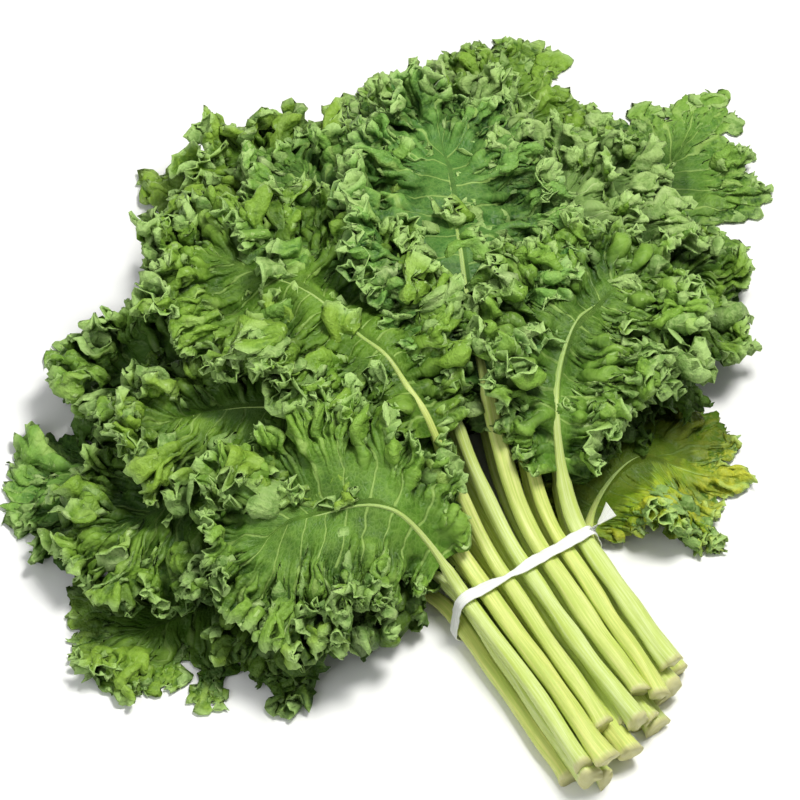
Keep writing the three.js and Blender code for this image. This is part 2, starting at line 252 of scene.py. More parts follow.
def wander(chance, arc, pitch):
    """A slow random wave between about -1 and 1: five sines of chance lengths near pitch."""
    total = np.zeros_like(arc)
    for _ in range(5):
        total += np.sin(arc * 2 * np.pi / (pitch * chance.uniform(0.6, 1.7)) + chance.uniform(0, 6.3))
    return total / 2.4


def ease(points, times):
    """Rounds off creases: each inner point moves towards the mean of its neighbours."""
    for _ in range(times):
        points[1:-1] = 0.5 * points[1:-1] + 0.25 * (points[2:] + points[:-2])
        points[:, 1:-1] = 0.8 * points[:, 1:-1] + 0.1 * (points[:, 2:] + points[:, :-2])
    return points


def sheet_normal(points):
    """The sheet's normal at each grid point; at the rib, where rays meet, the next row's."""
    along = np.gradient(points, axis=0)
    out = np.gradient(points, axis=1)
    normal = unit(np.cross(along, out))
    normal[:, 0] = normal[:, 1]
    return normal, unit(along)


def margin_arc(points):
    """Distance walked along the margin to each column."""
    step = np.linalg.norm(np.diff(points[:, -1], axis=0), axis=1)
    return np.concatenate([[0], np.cumsum(step)])


def buckle(points, grow, pitch, height, loop, skew, chance):
    """Buckles a sheet. Along the margin a turn is counted every pitch, with slow wandering. Each
    point moves along the sheet's normal by height times the sine of the turn, and back along the
    margin by loop pitches times the sine of twice the turn, so the folds lean over into loops."""
    normal, along = sheet_normal(points)
    arc = margin_arc(points)
    rows = np.linspace(0, 1, points.shape[1])
    turn = arc / pitch * 2 * np.pi + 0.9 * wander(chance, arc, pitch * 2.6)
    lag = skew * wander(chance, arc, pitch * 3)
    size = 1 + 0.4 * wander(chance, arc, pitch * 3)
    turn = turn[:, None] + lag[:, None] * (rows - 1)[None, :]
    lift = grow * height * size[:, None] * np.sin(turn)
    slide = -grow * loop * pitch * np.sin(2 * turn)
    return points + normal * lift[..., None] + along * slide[..., None], np.sin(turn) * grow


def cloud(chance, points, pitch):
    """A bumpy value between about -1 and 1 in space: fourteen plane waves in chance directions,
    each about a pitch long."""
    total = np.zeros(points.shape[:2])
    for _ in range(14):
        way = chance.normal(size=3)
        way *= 2 * np.pi / (pitch * chance.uniform(0.75, 1.35) * np.linalg.norm(way))
        total += np.sin(points @ way + chance.uniform(0, 6.3))
    return total / 4


def pucker(points, grow, pitch, height, chance):
    """Blisters a sheet: moves it along its normal by a cloud, and a little sideways by another."""
    normal, along = sheet_normal(points)
    lift = grow * height * cloud(chance, points, pitch)
    slide = grow * height * 0.6 * cloud(chance, points, pitch)
    return points + normal * lift[..., None] + along * slide[..., None], lift / height


def blade_sheet(leaf):
    """The sheet's middle surface as a grid: columns run round the margin from the left base past
    the leaf's end to the right base, rows run out along rays from the rib to the margin. The flat
    blade follows the leaf's level in the heap. It is then blistered and buckled by turns, three
    times each and each time finer, its rim is scalloped, and it is held off the table and kept
    below the crown by soft limits."""
    chance = np.random.default_rng(300 + leaf["order"])
    even = np.linspace(-1, 1, COLUMNS + 1)
    from_end = np.abs(even) * (0.78 + 0.22 * np.abs(even))
    sweep = np.sign(even) * from_end
    side = np.sign(sweep)
    begin = blade_start(leaf)
    share = begin + (1 - begin) * (1 - 0.97 * from_end)
    rib = rib_plan(leaf, share)
    ahead = rib_plan(leaf, share + 0.01) - rib
    angle = np.radians(78 * (1 - np.exp(-from_end * 6)) + 18 * from_end)
    ray = np.arctan2(ahead[:, 1], ahead[:, 0]) - side * angle
    swell = np.clip(np.sin(np.pi * np.minimum(1, 0.28 + 0.7 * from_end)), 0, 1) ** 0.8
    near = np.minimum(from_end / 0.32, 1)
    width = leaf["half_width"] * (0.14 + 0.9 * swell) * (0.62 + 0.38 * np.sin(near * np.pi / 2))
    length_guess = sweep * leaf["blade"] * MARGIN_PER_BLADE / 2
    walked = length_guess + 500
    lobes = np.cos(length_guess * 2 * np.pi / LOBE_PITCH + leaf["order"] * 1.7)
    split = (length_guess / NOTCH_PITCH + 0.35 * wander(chance, walked, 50)) % 1
    depth = (1 - leaf["smooth"]) * (0.30 + 0.14 * wander(chance, walked, 40))
    notch = depth * np.exp(-(((split - 0.5) / 0.13) ** 2))
    teeth = wander(chance, walked, TOOTH_PITCH)
    width = width * (1.03 + 0.08 * lobes + 0.05 * teeth - notch)

    inner = np.linspace(0, HEM_START, INNER_ROWS + 1)
    hem = np.linspace(HEM_START, 1, OUTER_ROWS + 1)[1:]
    out = np.concatenate([inner, hem])[None, :]
    away = width[:, None] * out
    cup = CUP[leaf["tier"]]
    flat = width[:, None] * (out - cup**2 * out**4 / 8)
    x = rib[:, 0, None] + np.cos(ray)[:, None] * flat
    y = rib[:, 1, None] + np.sin(ray)[:, None] * flat
    spine = rib_height(leaf, share, rib[:, 0], rib[:, 1])
    level = level_height(leaf, x, y) - level_height(leaf, rib[:, 0], rib[:, 1])[:, None]
    tilt = -side[:, None] * leaf["tilt"] * away
    droop = END_DROOP * (1 - from_end[:, None]) ** 2 * out if leaf["tier"] == 0 else 0
    curl_up = width[:, None] * cup * out**2.5 / 2.5
    sway = 8 * wander(chance, walked, 80)[:, None] * out**1.5
    z = spine[:, None] + level + tilt - droop + curl_up + sway
    points = np.stack([x, y, z], axis=-1)

    base_fade = np.clip((1 - from_end) / 0.06, 0, 1)[:, None]
    smooth, power = leaf["smooth"], leaf["curl"]
    far = np.clip((out - smooth) / (1 - smooth), 0, 1) * base_fade
    tips = np.clip((out - 0.5) / 0.5, 0, 1) * base_fade
    points, knob = pucker(points, far**0.55, KNOB_PITCH, KNOB_HEIGHT * power, chance)
    fold = FOLD_HEIGHT * power
    points, one = buckle(points, far**1.2, FOLD_PITCH, fold, 0.05, 3.5, chance)
    points, blister = pucker(points, far**0.7, BLISTER_PITCH, BLISTER_HEIGHT * power, chance)
    curl = CURL_HEIGHT * power
    points, two = buckle(points, far**1.4, CURL_PITCH, curl, 0.09, 5.5, chance)
    points, grain = pucker(points, far, GRAIN_PITCH, GRAIN_HEIGHT * power, chance)
    hem_curl = HEM_HEIGHT * power
    points, three = buckle(points, tips, HEM_PITCH, hem_curl, 0.07, 2.0, chance)
    points = ease(points, 1)
    knob = knob + blister
    arc = margin_arc(points)
    scallop = np.abs(np.sin(arc * np.pi / SCALLOP_PITCH + 1.2 * wander(chance, arc, 16))) - 0.5
    rim = np.clip((out - 0.8) / 0.2, 0, 1) * base_fade
    away_from_rib = unit(np.gradient(points, axis=1))
    points = points + away_from_rib * (rim * SCALLOP_DEPTH * scallop[:, None])[..., None]
    above = np.maximum(points[..., 2] - CROWN_HEIGHT, 0)
    points[..., 2] += above / (1 + above / CROWN_GIVE) - above
    low = FLOOR_GAP + SHEET_HALF
    over = points[..., 2] - low
    points[..., 2] = low + 0.5 * (over + np.sqrt(over**2 + 9))
    crest = one * 0.4 + two * 0.4 + three * 0.25 + knob * 0.3 + grain * 0.2
    return points, crest, np.broadcast_to(out, crest.shape), width


def blade_faces():
    """Corner numbers for one skin, its joining triangles, and the rim between two skins, on a grid
    numbered column by column; then how many points a skin and a column have. The inner rows use
    every third column; a row of triangles joins them to the hem."""
    rows = INNER_ROWS + OUTER_ROWS + 1
    total = (COLUMNS + 1) * rows

    def at(i, j):
        return i * rows + j

    i = np.arange(0, COLUMNS, 3)[:, None]
    j = np.arange(INNER_ROWS - 1)[None, :]
    inner = np.stack([at(i, j), at(i + 3, j), at(i + 3, j + 1), at(i, j + 1)], -1).reshape(-1, 4)
    k = np.arange(COLUMNS)[:, None]
    m = np.arange(INNER_ROWS, rows - 1)[None, :]
    outer = np.stack([at(k, m), at(k + 1, m), at(k + 1, m + 1), at(k, m + 1)], -1).reshape(-1, 4)
    c = np.arange(0, COLUMNS, 3)
    a, b = at(c, INNER_ROWS - 1), at(c + 3, INNER_ROWS - 1)
    o = [at(c + n, INNER_ROWS) for n in range(4)]
    join = np.concatenate(
        [
            np.stack([a, o[1], o[0]], -1),
            np.stack([a, o[2], o[1]], -1),
            np.stack([a, b, o[2]], -1),
            np.stack([b, o[3], o[2]], -1),
        ]
    )
    quads = np.concatenate([inner, outer])
    edge = at(np.arange(COLUMNS), rows - 1)
    hem = np.stack([edge, edge + rows, edge + rows + total, edge + total], -1)
    low, high = np.arange(rows - 1), np.arange(1, rows)
    left = np.stack([low, high, high + total, low + total], -1)
    right = left[:, [1, 0, 3, 2]] + at(COLUMNS, 0)
    return quads, join, np.concatenate([hem, left, right]), total, rows


QUADS, JOIN, RIM, SKIN, ROWS = blade_faces()


def blade_skins(leaf):
    """The closed blade: the middle surface moved half a sheet's thickness to either side along its
    normal, welded along the rib where the left and right halves meet."""
    points, crest, out, width = blade_sheet(leaf)
    normal = unit(np.cross(np.gradient(points, axis=0), np.gradient(points, axis=1)))
    normal[:, 0] = normal[:, 1]
    normal[:, 0] = unit(normal[:, 0] + normal[::-1, 0])
    thick = SHEET_HALF * (1.5 - 0.7 * out)[..., None]
    skins = np.concatenate([points + normal * thick, points - normal * thick]).reshape(-1, 3)
    column = np.repeat(np.arange(COLUMNS + 1), ROWS)
    row = np.tile(np.arange(ROWS), COLUMNS + 1)
    same = np.where(row == 0, np.minimum(column, COLUMNS - column) * ROWS, column * ROWS + row)
    same = np.concatenate([same, same + SKIN])
    quads = np.concatenate([QUADS, QUADS[:, ::-1] + SKIN, RIM])
    tris = np.concatenate([JOIN, JOIN[:, ::-1] + SKIN])
    side = np.repeat([0, 1, 0], [len(QUADS), len(QUADS), len(RIM)])
    tri_side = np.repeat([0, 1], [len(JOIN), len(JOIN)])
    arc = np.linspace(0, leaf["blade"] * MARGIN_PER_BLADE, COLUMNS + 1)
    vein = np.stack([np.broadcast_to(arc[:, None], out.shape), out * width[:, None]], -1) / 100
    # Per point: distance out from the rib; the fold crest, which the finish uses for painted
    # highlights on the crests; and a place for the depth below the heap's canopy, filled in later for
    # painted shade.
    grown = np.stack([out, 0.5 + 0.5 * crest, np.zeros(out.shape)], -1)
    vein = np.concatenate([vein, vein]).reshape(-1, 2)
    grown = np.concatenate([grown, grown]).reshape(-1, 3)
    sheets = np.concatenate([QUADS, QUADS[:, ::-1] + SKIN])
    bake = [flat_lengths(sheets, out), flat_rim(), flat_lengths(tris, out)]
    return skins, same, quads, tris, side, tri_side, vein, grown, np.concatenate(bake)


CUTS = 4
RIBBON_TALL = 0.11
SIDE_INSET = 0.004
HEM_UP, BASES_UP, RIM_TALL = 0.884, 0.900, 0.008


def flat_lengths(faces, out):
    """Where faces of the two skins go on a flat map with no overlaps: each skin's ribbon is cut in
    four, and the eight lengths are stacked, columns running across and rows running up."""
    column, row, skin = faces % SKIN // ROWS, faces % ROWS, faces[:, :1] // SKIN
    cut = column.min(axis=1, keepdims=True) * CUTS // COLUMNS
    across = column * CUTS / COLUMNS - cut
    up = (cut + CUTS * skin + 0.02 + 0.94 * out[0][row]) * RIBBON_TALL
    return np.stack([SIDE_INSET + (1 - 2 * SIDE_INSET) * across, up], -1).reshape(-1, 2)


def flat_rim():
    """The rim's narrow faces on the same map, above the lengths: the hem, then the two bases."""
    column, row, skin = RIM % SKIN // ROWS, RIM % ROWS, RIM // SKIN
    hem = np.arange(len(RIM)) < COLUMNS
    right = (column.min(axis=1) == COLUMNS)[:, None]
    across = np.where(hem[:, None], column / COLUMNS, row / ROWS * 0.45 + 0.5 * right)
    up = np.where(hem[:, None], HEM_UP, BASES_UP) + RIM_TALL * skin
    return np.stack([SIDE_INSET + (1 - 2 * SIDE_INSET) * across, up], -1).reshape(-1, 2)


# ---- Stalks and ribs ----------------------------------------------------------------------------
# The stalk is crisp and juicy, rounded below and shallowly grooved on top, with fine ridges. It
# runs on into the blade as the rib, thinning to a thread near the leaf's end.

STALK_RINGS = 96
CUT_RINGS = 28
STALK_SIDES = 22
RIB_END = 0.985
CUT_BOW = 2.6
GROOVE_DEPTH, RIDGE_HEIGHT, OVAL = 0.24, 0.022, 0.09


def stalk_path(leaf):
    """Rings' middles from the cut end (-1) through the tie (0) to just short of the rib's end."""
    start, lift = tie_point(leaf)
    cut_share = np.linspace(-1, 0, CUT_RINGS + 1)[:-1]
    share = np.concatenate([cut_share, np.linspace(0, RIB_END, STALK_RINGS - CUT_RINGS)])
    cut = CUT_LENGTH - CUT_SLANT * leaf["slot"] + leaf["extra"]
    spread = leaf["slot"] * STALK_PITCH * (CUT_SPREAD - 1)
    below = np.minimum(share, 0)[:, None]
    aside = CUT_BOW * math.sin(leaf["order"] * 4.1) * below**2 - spread * below
    behind = start + ALONG * cut * below + ACROSS * aside
    above = rib_plan(leaf, np.maximum(share, 0))
    plan = np.where(share[:, None] < 0, behind, above)
    drop = ROW_LIFT - STALK_RADIUS + 0.3 + ROW_STEP * leaf["tier"] * 0.1
    rise = rib_height(leaf, np.maximum(share, 0), plan[:, 0], plan[:, 1])
    z = np.where(share < 0, lift + drop * share, rise)
    return np.column_stack([plan, z]), share


def stalk_skin(leaf):
    """The stalk: at each ring a circle, dented on top by a shallow groove and rippled by small
    ridges, carried along the path with its top kept up. Both ends close on a middle point."""
    chance = np.random.default_rng(700 + leaf["order"])
    path, share = stalk_path(leaf)
    begin = blade_start(leaf)
    walked = np.linspace(0, 100, len(path))
    loose = np.clip(-share, 0, 1) * 1.6
    path[:, 0] += loose * wander(chance, walked, 30)
    path[:, 2] += loose * np.abs(wander(chance, walked, 30)) * 0.5
    forward = unit(np.gradient(path, axis=0))
    right = unit(np.cross(forward, [0.0, 0.0, 1.0]))
    up = np.cross(right, forward)
    in_blade = np.clip((share - begin) / (1 - begin), 0, 1)
    swell = np.where(share < 0, 0.96 - 0.16 * share, 0.96 - 0.18 * np.clip(share / begin, 0, 1))
    run = np.concatenate([[0], np.cumsum(np.linalg.norm(np.diff(path, axis=0), axis=1))])
    wobble = 1 + 0.045 * wander(chance, run, 40)
    thick = STALK_RADIUS * (0.91 + 0.09 * math.sin(leaf["order"] * 2.3))
    radius = thick * swell * (1 - 0.94 * in_blade**0.38) * wobble
    flare = 1 + 0.16 * np.exp(-run / 6)
    radius = np.maximum(radius * flare, 0.35)
    theta = np.arange(STALK_SIDES) / STALK_SIDES * 2 * np.pi
    twist = chance.uniform(-0.9, 0.9) * np.exp(-run / 120) + 0.25 * wander(chance, run, 110)
    round_it = theta[None, :] - twist[:, None]
    bay = np.angle(np.exp(1j * (round_it - np.pi / 2)))
    groove = GROOVE_DEPTH * np.exp(-((bay / 0.5) ** 2)) * (1 - 0.4 * np.exp(-run[:, None] / 15))
    ridges = RIDGE_HEIGHT * np.cos(round_it * 7 + leaf["order"])
    oval = OVAL * np.cos(2 * round_it + chance.uniform(0, 6.3))
    heel = np.exp(-run / 5)[:, None]
    knobs = heel * 0.09 * np.cos(3 * theta + chance.uniform(0, 6.3))[None, :]
    knobs = knobs + heel * 0.06 * np.cos(5 * theta + chance.uniform(0, 6.3))[None, :]
    ring = radius[:, None] * (1 - groove + ridges + oval + knobs)
    slant = chance.uniform(-0.35, 0.35) * np.cos(theta) + chance.uniform(-0.3, 0.3) * np.sin(theta)
    tear = slant * radius[0] + 0.5 * wander(chance, theta * 4, 6)
    back = (np.exp(-run / 3)[:, None] * tear[None, :])[..., None] * forward[:, None, :]
    points = (
        path[:, None, :]
        + right[:, None, :] * (ring * np.cos(theta))[..., None]
        + up[:, None, :] * (ring * np.sin(theta))[..., None]
        + back
    )
    ends = np.stack([path[0] + forward[0] * 0.4, path[-1] + forward[-1] * 0.4])
    points = np.concatenate([points.reshape(-1, 3), ends])
    points[:, 2] = np.maximum(points[:, 2], 0.15)
    i = np.arange(STALK_RINGS - 1)[:, None] * STALK_SIDES
    j = np.arange(STALK_SIDES)[None, :]
    k = (j + 1) % STALK_SIDES
    quads = np.stack([i + j, i + k, i + k + STALK_SIDES, i + j + STALK_SIDES], -1).reshape(-1, 4)
    quads = quads[:, ::-1]
    j, k = j[0], k[0]
    last = (STALK_RINGS - 1) * STALK_SIDES
    tip = STALK_RINGS * STALK_SIDES
    tris = np.concatenate(
        [
            np.stack([k, j, np.full_like(j, tip)], -1)[:, ::-1],
            np.stack([last + j, last + k, np.full_like(j, tip + 1)], -1)[:, ::-1],
        ]
    )
    lengthwise = np.append(np.repeat(run, STALK_SIDES), [run[0], run[-1]]) / 100
    around = np.append(np.tile(theta, STALK_RINGS), [0, 0]) / (2 * math.pi)
    vein = np.stack([lengthwise, around], -1)
    blend = np.append(np.repeat(in_blade, STALK_SIDES), [0, 1])
    heel = np.append(np.repeat(np.exp(-run / 5), STALK_SIDES), [1, 0])
    grown = np.stack([blend, heel, np.zeros_like(blend)], -1)
    cap = np.concatenate([np.full((len(j), 3), 0), np.full((len(j), 3), STALK_RINGS - 1)])
    bake = np.concatenate([flat_stalk(quads, quads // STALK_SIDES), flat_stalk(tris, cap)])
    return points, quads, tris, vein, grown, bake


def flat_stalk(faces, ring):
    """Stalk faces on the flat map's top strip: rings run across, sides up. A face that closes the
    round goes up past the last side, and an end's middle point lies just beyond its ring."""
    side = faces % STALK_SIDES
    side = np.where((side == 0) & (side.max(axis=1, keepdims=True) > 1), STALK_SIDES, side)
    middle = faces >= STALK_RINGS * STALK_SIDES
    total = np.where(middle, 0, side).sum(axis=1, keepdims=True)
    known = total / (~middle).sum(axis=1, keepdims=True)
    side = np.where(middle, known, side)
    beyond = np.where(ring == 0, -0.6, 0.6)
    across = (ring + np.where(middle, beyond, 0) + 1) / (STALK_RINGS + 1)
    return np.stack([across, 0.92 + 0.075 * side / STALK_SIDES], -1).reshape(-1, 2)


# ---- What the leaves are coloured like ----------------------------------------------------------
# Mid green above with a bluish bloom in places, paler and matt beneath, pale veins and hem;
# the stalks are pale yellow-green with darker streaks and a dry, slightly brown cut end.
# Light is also painted on the blades: lighter fold crests, darker hollows in the heap, and
# brighter upper faces on leaves of yellow hue.


class Finish:
    """One material being put together: adds nodes and joins them, left to right."""

    def __init__(self, name):
        self.material = bpy.data.materials.new(name)
        self.material.use_nodes = True
        self.tree = self.material.node_tree
        self.skin = self.tree.nodes["Principled BSDF"]

    def add(self, kind, inputs=None, **settings):
        """A node of a kind, with its settings, and its inputs given as numbers or sockets."""
        node = self.tree.nodes.new(kind)
        for key, value in settings.items():
            setattr(node, key, value)
        for key, value in (inputs or {}).items():
            self.put(node.inputs[key], value)
        return node

    def put(self, socket, value):
        """A value set on a socket, or another node's output joined to it."""
        if isinstance(value, bpy.types.NodeSocket):
            self.tree.links.new(value, socket)
        else:
            socket.default_value = value

    def sums(self, operation, *values):
        """A Math node's result."""
        return self.add("ShaderNodeMath", dict(enumerate(values)), operation=operation).outputs[0]

    def mix(self, factor, first, second):
        """Two colours mixed by a factor."""
        node = self.add("ShaderNodeMix", {0: factor, 6: first, 7: second}, data_type="RGBA")
        return node.outputs[2]

    def span(self, value, low, high, to_low=0.0, to_high=1.0):
        """A value stretched from one span to another, with soft ends and nothing beyond them."""
        inputs = {0: value, 1: low, 2: high, 3: to_low, 4: to_high}
        return self.add("ShaderNodeMapRange", inputs, interpolation_type="SMOOTHSTEP").outputs[0]

    def noise(self, where, scale, detail=3.0, rough=0.55):
        """Cloudy noise between about 0.3 and 0.7."""
        inputs = {"Vector": where, "Scale": scale, "Detail": detail, "Roughness": rough}
        return self.add("ShaderNodeTexNoise", inputs).outputs[0]


def leaf_finish(name, underside, hue):
    """A blade's finish. Veins are drawn on the Vein map, whose x runs along the margin and y out
    from the rib, both in decimetres: side veins every 15 mm, forks between them, and a fine net."""
    f = Finish(name)
    where = f.add("ShaderNodeTexCoord").outputs["Object"]
    flat = f.add("ShaderNodeUVMap", uv_map="Vein").outputs[0]
    parts = f.add("ShaderNodeSeparateXYZ", {0: flat})
    x, y = parts.outputs[0], parts.outputs[1]
    grown = f.add("ShaderNodeAttribute", attribute_name="grown").outputs["Vector"]
    grown = f.add("ShaderNodeSeparateXYZ", {0: grown})
    # The attribute's second value is the fold crest, for the painted highlight; its third is the
    # depth below the canopy, for the painted shade.
    out, crest, painted_shade_depth = grown.outputs[0], grown.outputs[1], grown.outputs[2]

    bend = f.noise(flat, 4.0, 2.0)
    bend = f.sums("MULTIPLY", f.sums("SUBTRACT", bend, 0.5), 0.9)
    lane = f.sums("ADD", f.sums("MULTIPLY", x, 6.6), bend)
    middle = f.sums("ABSOLUTE", f.sums("SUBTRACT", f.sums("FRACT", lane), 0.5))
    slim = f.sums("ADD", f.sums("MULTIPLY", out, -0.035), 0.05)
    side_vein = f.sums("SUBTRACT", 1.0, f.span(f.sums("DIVIDE", middle, slim), 0.45, 1.5))
    lane2 = f.sums("ADD", f.sums("MULTIPLY", lane, 2.0), 0.5)
    middle2 = f.sums("ABSOLUTE", f.sums("SUBTRACT", f.sums("FRACT", lane2), 0.5))
    fork = f.sums("SUBTRACT", 1.0, f.span(middle2, 0.02, 0.09))
    fork = f.sums("MULTIPLY", fork, f.span(out, 0.35, 0.6, 0.0, 0.6))
    net_map = f.add("ShaderNodeMapping", {"Vector": flat, "Scale": (42.0, 42.0, 1.0)}).outputs[0]
    net = f.add(
        "ShaderNodeTexVoronoi", {"Vector": net_map, "Scale": 1.0}, feature="DISTANCE_TO_EDGE"
    ).outputs["Distance"]
    net_line = f.span(net, 0.02, 0.14, 1.0, 0.0)
    vein = f.sums("MAXIMUM", side_vein, fork)

    patches = f.noise(where, 22.0, 4.0, 0.6)
    small = f.noise(where, 170.0, 3.0)
    crumbs = f.noise(where, 330.0, 2.0, 0.6)
    if underside:
        deep = (0.10, 0.21, 0.035, 1)
        mid = (0.21, 0.37, 0.080, 1)
        light = (0.38, 0.55, 0.17, 1)
        vein_colour = (0.55, 0.70, 0.30, 1)
        rough = 0.62
    else:
        # Leaves with a yellow (negative) hue get a brighter upper face: painted light, standing in
        # for light shining through the leaf.
        painted_light_gain = 1 + 0.7 * max(-hue, 0)
        deep = (0.022 * painted_light_gain - 0.010 * hue, 0.070 * painted_light_gain, 0.004 + 0.02 * max(hue, 0), 1)
        mid = (0.088 * painted_light_gain - 0.040 * hue, 0.205 * painted_light_gain, 0.012 + 0.06 * max(hue, 0), 1)
        light = (0.25 * painted_light_gain - 0.07 * hue, 0.43 * painted_light_gain**0.5, 0.05 + 0.06 * max(hue, 0), 1)
        vein_colour = (0.40, 0.58, 0.15, 1)
        rough = 0.50
    tone = f.span(patches, 0.35, 0.66)
    base = f.mix(tone, deep, mid)
    # Painted highlight and shade: fold crests are mixed towards the light green and troughs keep the
    # darker base; the small noise adds random tone on top.
    height = f.sums("ADD", f.sums("MULTIPLY", crest, 0.8), f.sums("MULTIPLY", small, 0.5))
    base = f.mix(f.span(height, 0.45, 1.0, 0.0, 0.75), base, light)
    frill = f.span(out, 0.3, 0.8)
    speck = f.sums("MULTIPLY", f.span(crumbs, 0.42, 0.66), f.sums("MULTIPLY", frill, 0.6))
    base = f.mix(speck, base, light)
    base = f.mix(f.sums("MULTIPLY", net_line, 0.12), base, vein_colour)
    base = f.mix(f.sums("MULTIPLY", vein, 0.55), base, vein_colour)
    # Painted shade: the deeper a point lies below the heap's canopy, the nearer its colour goes to a
    # near-black green.
    base = f.mix(f.sums("MULTIPLY", painted_shade_depth, 0.72), base, (0.010, 0.042, 0.002, 1))
    # The pale hem is the leaf's own colour, held back where the painted shade lies.
    hem = f.span(out, 0.93, 1.0, 0.0, 0.62)
    hem = f.sums("MULTIPLY", hem, f.sums("SUBTRACT", 1.0, painted_shade_depth))
    base = f.mix(hem, base, (0.45, 0.66, 0.22, 1))
    f.put(f.skin.inputs["Base Color"], base)
    f.put(f.skin.inputs["Roughness"], f.span(small, 0.3, 0.7, rough - 0.08, rough + 0.12))
    f.skin.inputs["Specular IOR Level"].default_value = 0.22

    blister = f.noise(flat, 16.0, 2.0)
    relief = f.sums("ADD", f.sums("MULTIPLY", net, 0.9), f.sums("MULTIPLY", blister, 1.2))
    relief = f.sums("ADD", relief, f.sums("MULTIPLY", vein, 0.9 if underside else -0.7))
    relief = f.sums("ADD", relief, f.sums("MULTIPLY", crumbs, f.sums("MULTIPLY", frill, 3.0)))
    bump = f.add("ShaderNodeBump", {"Height": relief, "Strength": 0.55, "Distance": 0.0011})
    f.put(f.skin.inputs["Normal"], bump.outputs[0])
    return f.material


def stalk_finish(name, warm):
    """The stalk's finish: long streaks on the Vein map, greener towards the blade, brown heel."""
    f = Finish(name)
    flat = f.add("ShaderNodeUVMap", uv_map="Vein").outputs[0]
    grown = f.add("ShaderNodeAttribute", attribute_name="grown").outputs["Vector"]
    grown = f.add("ShaderNodeSeparateXYZ", {0: grown})
    inside, heel = grown.outputs[0], grown.outputs[1]
    long_map = f.add("ShaderNodeMapping", {"Vector": flat, "Scale": (2.5, 22.0, 1.0)}).outputs[0]
    streaks = f.noise(long_map, 1.0, 4.0, 0.6)
    blot = f.noise(flat, 12.0, 2.0)
    pale = (0.69 + 0.04 * warm, 0.75, 0.28 - 0.05 * warm, 1)
    green = (0.50, 0.62, 0.13, 1)
    base = f.mix(f.span(streaks, 0.35, 0.68), green, pale)
    base = f.mix(f.span(blot, 0.5, 0.75, 0.0, 0.35), base, (0.50, 0.62, 0.15, 1))
    base = f.mix(f.span(inside, 0.0, 0.45, 0.0, 0.7), base, (0.27, 0.45, 0.11, 1))
    base = f.mix(f.span(heel, 0.45, 1.0, 0.0, 0.8), base, (0.66, 0.62, 0.32, 1))
    f.put(f.skin.inputs["Base Color"], base)
    f.skin.inputs["Roughness"].default_value = 0.44
    f.skin.inputs["Specular IOR Level"].default_value = 0.35
    f.skin.inputs["Subsurface Weight"].default_value = 0.12
    f.skin.inputs["Subsurface Radius"].default_value = (0.004, 0.004, 0.001)
    f.skin.inputs["Subsurface Scale"].default_value = 1.0
    bump = f.add("ShaderNodeBump", {"Height": streaks, "Strength": 0.35, "Distance": 0.0008})
    f.put(f.skin.inputs["Normal"], bump.outputs[0])
    return f.material


# ---- The leaves laid in the heap ----------------------------------------------------------------
# Each leaf is its blade and its stalk in one mesh, with upper, underside and stalk finishes. The
# canopy is the height of the topmost blade over each square cell of the table; a point well below
# it lies in a hollow of the heap, and its colour is darkened there with painted shade.

CELL, CELLS, CELL_EDGE = 7.0, 80, 280
# Depth below the canopy, in millimetres, at which the painted shade begins, and over which it grows
# to full.
HOLLOW_FROM, HOLLOW_DEPTH = 1, 15


def mesh_piece(name, points, groups, vein, grown, materials, bake):
    """A mesh object from numpy arrays. groups are (corner numbers, material number); points are
    in millimetres before the move to the frame's origin and come out in metres."""
    place = points.copy()
    place[:, :2] += TO_CENTRE
    place /= 1000
    counts = np.concatenate([np.full(len(f), f.shape[1]) for f, _ in groups])
    corners = np.concatenate([f.reshape(-1) for f, _ in groups])
    slots = np.concatenate([np.full(len(f), s) if np.isscalar(s) else s for f, s in groups])
    used, corners = np.unique(corners, return_inverse=True)
    place, vein, grown = place[used], vein[used], grown[used]
    mesh = bpy.data.meshes.new(name)
    mesh.vertices.add(len(place))
    mesh.vertices.foreach_set("co", place.astype(np.float32).reshape(-1))
    mesh.loops.add(len(corners))
    mesh.loops.foreach_set("vertex_index", corners.astype(np.int32).reshape(-1))
    mesh.polygons.add(len(counts))
    starts = np.concatenate([[0], np.cumsum(counts)[:-1]])
    mesh.polygons.foreach_set("loop_start", starts.astype(np.int32))
    mesh.polygons.foreach_set("material_index", slots.astype(np.int32))
    mesh.polygons.foreach_set("use_smooth", np.ones(len(counts), bool))
    mesh.update(calc_edges=True)
    layer = mesh.uv_layers.new(name="Vein")
    layer.uv.foreach_set("vector", vein[corners.reshape(-1)].astype(np.float32).reshape(-1))
    if bake is not None:
        layer = mesh.uv_layers.new(name="OFBake")
        layer.uv.foreach_set("vector", bake.astype(np.float32).reshape(-1))
    tint = mesh.attributes.new("grown", "FLOAT_VECTOR", "POINT")
    tint.data.foreach_set("vector", grown.astype(np.float32).reshape(-1))
    for material in materials:
        mesh.materials.append(material)
    piece = bpy.data.objects.new(name, mesh)
    bpy.context.collection.objects.link(piece)
    return piece


blades = [blade_skins(leaf) for leaf in leaves]
canopy = np.zeros((CELLS, CELLS))


def canopy_cell(points):
    """Row and column of the square cell that each point lies over."""
    cell = np.clip(((points[:, :2] + CELL_EDGE) / CELL).astype(int), 0, CELLS - 1)
    return cell[:, 0], cell[:, 1]


for blade in blades:
    np.maximum.at(canopy, canopy_cell(blade[0]), blade[0][:, 2])
for axis in (0, 1):
    canopy = (np.roll(canopy, 1, axis) + canopy + np.roll(canopy, -1, axis)) / 3

